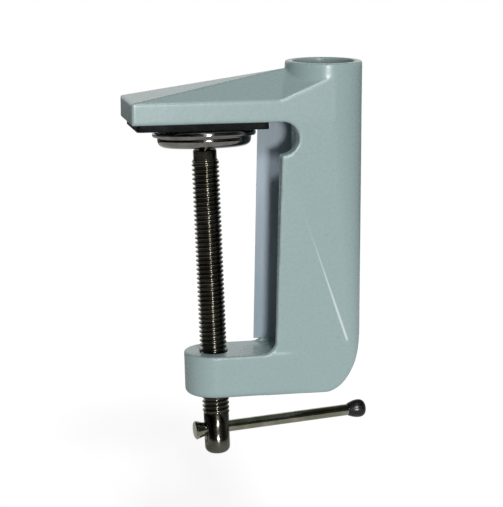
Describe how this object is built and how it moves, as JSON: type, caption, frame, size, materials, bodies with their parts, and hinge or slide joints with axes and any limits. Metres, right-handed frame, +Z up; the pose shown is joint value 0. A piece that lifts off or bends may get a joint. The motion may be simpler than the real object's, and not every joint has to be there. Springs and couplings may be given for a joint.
{
  "type": "c clamp",
  "caption": "C-shaped edge clamp with a faceted cast frame, a swivelling pressure disc on a leaning screw with a sliding tommy bar, and a round pin socket over its spine.",
  "frame": {"origin": "middle of the fixed jaw's rubber face, where the clamp meets the top of a table", "axes": "+X along the jaws towards the back of the spine, +Y across the jaws, +Z up along the socket boss"},
  "size_m": [0.0866, 0.0352, 0.1378],
  "materials": {
    "enamel": "grey-green gloss enamel over a zinc die casting, slightly orange-peeled",
    "bush_plastic": "black moulded nylon",
    "pad_rubber": "matt black rubber",
    "label_film": "pale blue-grey label film, bare",
    "screw_plating": "dark nickel plate on a rolled thread",
    "disc_plating": "bright nickel plate on pressed steel",
    "washer_steel": "plain steel",
    "bar_plating": "bright nickel plate",
    "knob_plastic": "black moulded plastic"
  },
  "bodies": {
    "frame": {"frame": "enamel", "socket_bush": "bush_plastic", "jaw_pad": "pad_rubber", "instruction_label": "label_film"},
    "washer": {"ball_washer": "washer_steel"},
    "screw": {"clamp_screw": "screw_plating"},
    "disc": {"swivel_disc": "disc_plating", "disc_facing": "pad_rubber"},
    "bar": {"tommy_bar": "bar_plating", "bar_knob": "knob_plastic"}
  },
  "joints": [
    {"name": "screw_feed", "type": "slide", "parent": "frame", "child": "washer", "axis": [0.0384, 0, -0.9993], "range_m": [0, 0.07]},
    {"name": "screw_turn", "type": "hinge", "parent": "washer", "child": "screw", "pos_m": [0.00245, 0, -0.00575], "axis": [0.0384, 0, -0.9993], "range_deg": [0, 15874.02]},
    {"name": "disc_tilt", "type": "hinge", "parent": "washer", "child": "disc", "pos_m": [0.00245, 0, -0.00575], "axis": [-0.9903, -0.1392, 0], "range_deg": [-10.1, 0.2]},
    {"name": "bar_slide", "type": "slide", "parent": "screw", "child": "bar", "axis": [-0.9947, -0.0958, -0.0382], "range_m": [0, 0.0446]}
  ],
  "couplings": [
    {"joint": "screw_turn", "follows": "screw_feed", "rad_per_m": 3957.9}
  ]
}
